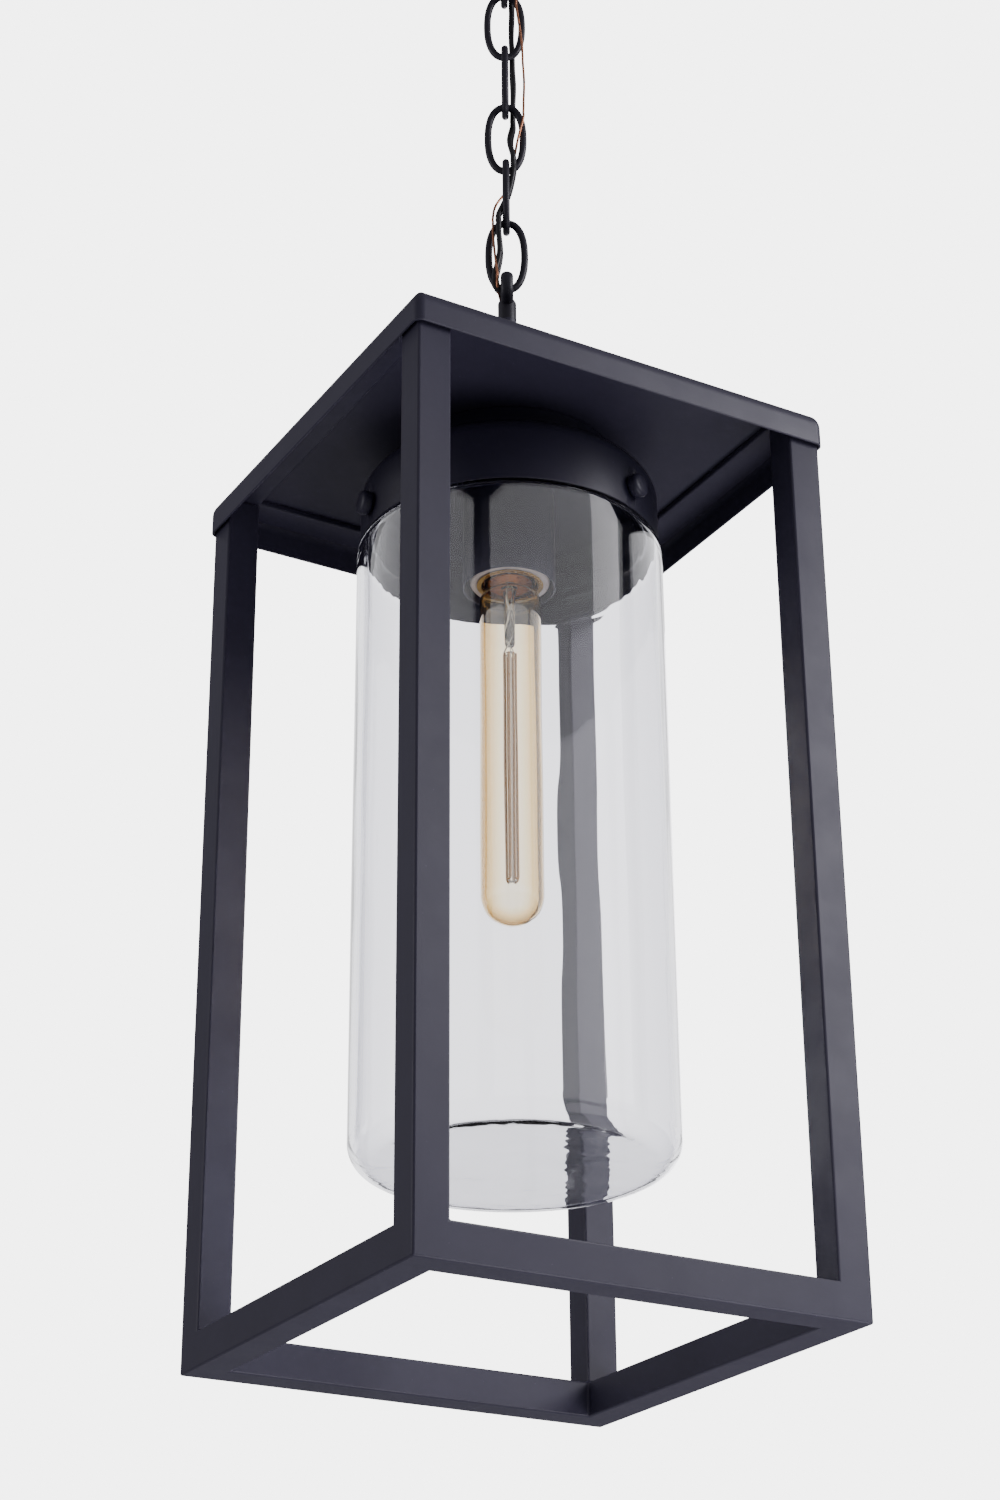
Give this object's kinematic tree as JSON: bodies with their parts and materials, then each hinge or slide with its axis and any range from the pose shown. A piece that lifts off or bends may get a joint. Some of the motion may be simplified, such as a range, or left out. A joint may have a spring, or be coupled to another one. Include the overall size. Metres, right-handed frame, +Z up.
{
  "type": "hanging lantern",
  "caption": "Square open-frame pendant lantern with a clear glass cylinder and a tubular filament bulb, hung by a short chain from a ceiling canopy.",
  "frame": {"origin": "centre of the canopy's outline on the ceiling plane, on the hanging axis", "axes": "+Z up into the ceiling along the hanging axis; +X and +Y square to the lantern's sides"},
  "size_m": [0.2246, 0.2246, 0.854],
  "materials": {
    "grey_paint": "satin powder coat",
    "zinc_plate": "satin",
    "brass": "polished",
    "clear_glass": "clear, faint vertical ripples",
    "tinted_glass": "clear champagne tint",
    "porcelain": "glazed",
    "black_insulation": "matt",
    "bare_copper": "bare, slightly tarnished",
    "filament_wire": "drawn wire",
    "nylon": "matt"
  },
  "bodies": {
    "ceiling_fitting": {"mounting_strap": "zinc_plate", "mounting_screw_left": "zinc_plate", "mounting_screw_right": "zinc_plate", "threaded_nipple": "zinc_plate", "canopy_loop": "grey_paint", "supply_wires_7": "black_insulation", "earth_wire_7": "bare_copper"},
    "canopy": {"canopy_dish": "grey_paint"},
    "collar": {"collar_ring": "grey_paint"},
    "link_6": {"chain_link_6": "grey_paint", "supply_wires_6": "black_insulation", "earth_wire_6": "bare_copper"},
    "link_5": {"chain_link_5": "grey_paint", "supply_wires_5": "black_insulation", "earth_wire_5": "bare_copper"},
    "link_4": {"chain_link_4": "grey_paint", "supply_wires_4": "black_insulation", "earth_wire_4": "bare_copper"},
    "link_3": {"chain_link_3": "grey_paint", "supply_wires_3": "black_insulation", "earth_wire_3": "bare_copper"},
    "link_2": {"chain_link_2": "grey_paint", "supply_wires_2": "black_insulation", "earth_wire_2": "bare_copper"},
    "link_1": {"chain_link_1": "grey_paint", "supply_wires_1": "black_insulation", "earth_wire_1": "bare_copper"},
    "lantern": {"post_front_left": "grey_paint", "post_front_right": "grey_paint", "post_back_left": "grey_paint", "post_back_right": "grey_paint", "bottom_rail_front": "grey_paint", "bottom_rail_right": "grey_paint", "bottom_rail_back": "grey_paint", "bottom_rail_left": "grey_paint", "top_frame": "grey_paint", "roof_cap": "grey_paint", "stem_tube": "grey_paint", "stem_nut": "zinc_plate", "hanging_eye": "grey_paint", "shade_holder": "grey_paint", "holder_drum": "grey_paint", "socket_cup": "grey_paint", "socket_porcelain": "porcelain", "socket_shell": "brass", "socket_contact": "brass", "supply_wires_0": "black_insulation", "earth_wire_0": "bare_copper"},
    "screw_1_advance": {"thumbscrew_tip_1": "nylon"},
    "screw_1": {"thumbscrew_1": "grey_paint"},
    "screw_2_advance": {"thumbscrew_tip_2": "nylon"},
    "screw_2": {"thumbscrew_2": "grey_paint"},
    "screw_3_advance": {"thumbscrew_tip_3": "nylon"},
    "screw_3": {"thumbscrew_3": "grey_paint"},
    "shade": {"glass_shade": "clear_glass"},
    "bulb_advance": {"bulb_contact": "brass"},
    "bulb": {"bulb_base": "brass", "bulb_envelope": "tinted_glass", "bulb_stem": "clear_glass", "bulb_filament": "filament_wire"}
  },
  "joints": [
    {"name": "canopy_lower", "type": "slide", "parent": "ceiling_fitting", "child": "canopy", "axis": [0, 0, -1], "range_m": [0, 0.006]},
    {"name": "collar_turn", "type": "hinge", "parent": "canopy", "child": "collar", "pos_m": [0, 0, -0.033], "axis": [0, 0, 1], "range_deg": [0, 2160]},
    {"name": "link_6_swing", "type": "hinge", "parent": "ceiling_fitting", "child": "link_6", "pos_m": [0, 0, -0.063], "axis": [0.8669, -0.4985, 0], "range_deg": [-15, 15]},
    {"name": "link_5_swing", "type": "hinge", "parent": "link_6", "child": "link_5", "pos_m": [0, 0, -0.09965], "axis": [0.4985, 0.8669, 0], "range_deg": [-15, 15]},
    {"name": "link_4_swing", "type": "hinge", "parent": "link_5", "child": "link_4", "pos_m": [0, 0, -0.13745], "axis": [0.8669, -0.4985, 0], "range_deg": [-15, 15]},
    {"name": "link_3_swing", "type": "hinge", "parent": "link_4", "child": "link_3", "pos_m": [0, 0, -0.17525], "axis": [0.4985, 0.8669, 0], "range_deg": [-15, 15]},
    {"name": "link_2_swing", "type": "hinge", "parent": "link_3", "child": "link_2", "pos_m": [0, 0, -0.21305], "axis": [0.8669, -0.4985, 0], "range_deg": [-15, 15]},
    {"name": "link_1_swing", "type": "hinge", "parent": "link_2", "child": "link_1", "pos_m": [0, 0, -0.25085], "axis": [0.4985, 0.8669, 0], "range_deg": [-15, 15]},
    {"name": "lantern_swing", "type": "hinge", "parent": "link_1", "child": "lantern", "pos_m": [0, 0, -0.28865], "axis": [0.8669, -0.4985, 0], "range_deg": [-15, 15]},
    {"name": "thumbscrew_1_back_out", "type": "slide", "parent": "lantern", "child": "screw_1_advance", "axis": [0.4067, -0.9135, 0], "range_m": [0, 0.0035]},
    {"name": "thumbscrew_1_turn", "type": "hinge", "parent": "screw_1_advance", "child": "screw_1", "pos_m": [0.0299, -0.06715, -0.434], "axis": [0.4067, -0.9135, 0], "range_deg": [0, 1800]},
    {"name": "thumbscrew_2_back_out", "type": "slide", "parent": "lantern", "child": "screw_2_advance", "axis": [0.5878, 0.809, 0], "range_m": [0, 0.0035]},
    {"name": "thumbscrew_2_turn", "type": "hinge", "parent": "screw_2_advance", "child": "screw_2", "pos_m": [0.0432, 0.05946, -0.434], "axis": [0.5878, 0.809, 0], "range_deg": [0, 1800]},
    {"name": "thumbscrew_3_back_out", "type": "slide", "parent": "lantern", "child": "screw_3_advance", "axis": [-0.9945, 0.1045, 0], "range_m": [0, 0.0035]},
    {"name": "thumbscrew_3_turn", "type": "hinge", "parent": "screw_3_advance", "child": "screw_3", "pos_m": [-0.0731, 0.00768, -0.434], "axis": [-0.9945, 0.1045, 0], "range_deg": [0, 1800]},
    {"name": "shade_lower", "type": "slide", "parent": "lantern", "child": "shade", "axis": [0, 0, -1], "range_m": [0, 0.26]},
    {"name": "bulb_lower", "type": "slide", "parent": "lantern", "child": "bulb_advance", "axis": [0, 0, -1], "range_m": [0, 0.024]},
    {"name": "bulb_turn", "type": "hinge", "parent": "bulb_advance", "child": "bulb", "pos_m": [0, 0, -0.437], "axis": [0, 0, -1], "range_deg": [0, 2400]}
  ],
  "couplings": [
    {"joint": "collar_turn", "follows": "canopy_lower", "rad_per_m": 6283.2},
    {"joint": "thumbscrew_1_turn", "follows": "thumbscrew_1_back_out", "rad_per_m": 8976},
    {"joint": "thumbscrew_2_turn", "follows": "thumbscrew_2_back_out", "rad_per_m": 8976},
    {"joint": "thumbscrew_3_turn", "follows": "thumbscrew_3_back_out", "rad_per_m": 8976},
    {"joint": "bulb_turn", "follows": "bulb_lower", "rad_per_m": 1731.4}
  ]
}
